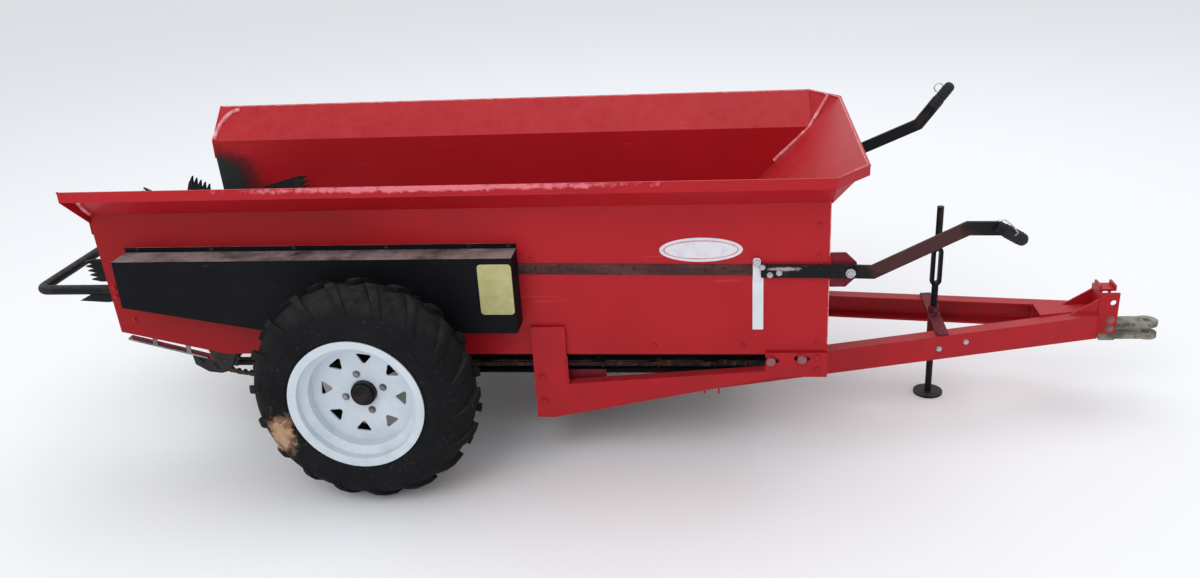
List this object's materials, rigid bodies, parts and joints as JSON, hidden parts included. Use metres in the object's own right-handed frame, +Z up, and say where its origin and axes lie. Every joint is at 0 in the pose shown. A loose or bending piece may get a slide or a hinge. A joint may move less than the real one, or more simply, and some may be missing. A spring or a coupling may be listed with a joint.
{
  "type": "tow-behind manure spreader",
  "caption": "Ground-driven tow-behind manure spreader: flared box with slatted apron floor, toothed beater at the rear, lugged wheels, A-frame tongue with clevis and parking leg.",
  "frame": {"origin": "on the ground under the middle of the whole length and width", "axes": "+X forward to the hitch, +Y to the machine's left, +Z up"},
  "size_m": [2.984, 1.244, 0.8018],
  "materials": {
    "red_paint": "red paint, lightly worn",
    "black_paint": "black paint, satin",
    "white_paint": "white paint, gloss",
    "bare_steel": "dull bare steel",
    "rusty_steel": "rusted steel",
    "tyre": "black rubber, dirty"
  },
  "bodies": {
    "frame": {"side_right": "red_paint", "side_left": "red_paint", "front_panel": "red_paint", "corner_right": "red_paint", "corner_left": "red_paint", "deck": "black_paint", "runner_right": "bare_steel", "runner_left": "bare_steel", "frame_right": "red_paint", "frame_left": "red_paint", "cross_rear": "red_paint", "cross_front": "red_paint", "beam_right": "red_paint", "beam_left": "red_paint", "pole": "red_paint", "hitch_post": "red_paint", "clevis": "rusty_steel", "leg_bracket": "black_paint", "axle": "bare_steel", "bearing_right": "black_paint", "bearing_left": "black_paint", "apron": "rusty_steel", "apron_shaft_front": "bare_steel", "apron_shaft_rear": "bare_steel", "shaft_plate_front_right": "bare_steel", "shaft_plate_front_left": "bare_steel", "shaft_plate_rear_right": "bare_steel", "shaft_plate_rear_left": "bare_steel", "drive_right": "rusty_steel", "drive_left": "rusty_steel", "cover_right": "black_paint", "cover_left": "black_paint", "beater_bearing_right": "bare_steel", "beater_bearing_left": "bare_steel", "guard": "black_paint", "lever_right": "black_paint", "lever_left": "black_paint", "pivot_right": "red_paint", "pivot_left": "red_paint", "link_right": "rusty_steel", "link_left": "rusty_steel", "guide_strip": "white_paint"},
    "wheel_right": {"rim_right": "white_paint", "tyre_right": "tyre", "hub_right": "black_paint"},
    "wheel_left": {"rim_left": "white_paint", "tyre_left": "tyre", "hub_left": "black_paint"},
    "beater": {"beater": "black_paint"},
    "parking_leg": {"parking_leg": "black_paint"}
  },
  "joints": [
    {"name": "wheel_right_turn", "type": "hinge", "parent": "frame", "child": "wheel_right", "pos_m": [-0.543, -0.537, 0.29], "axis": [0, 1, 0], "continuous": true},
    {"name": "wheel_left_turn", "type": "hinge", "parent": "frame", "child": "wheel_left", "pos_m": [-0.543, 0.537, 0.29], "axis": [0, 1, 0], "continuous": true},
    {"name": "beater_turn", "type": "hinge", "parent": "frame", "child": "beater", "pos_m": [-1.155, 0, 0.512], "axis": [0, 1, 0], "continuous": true},
    {"name": "leg_slide", "type": "slide", "parent": "frame", "child": "parking_leg", "axis": [0, 0, 1], "range_m": [0, 0.17]}
  ]
}
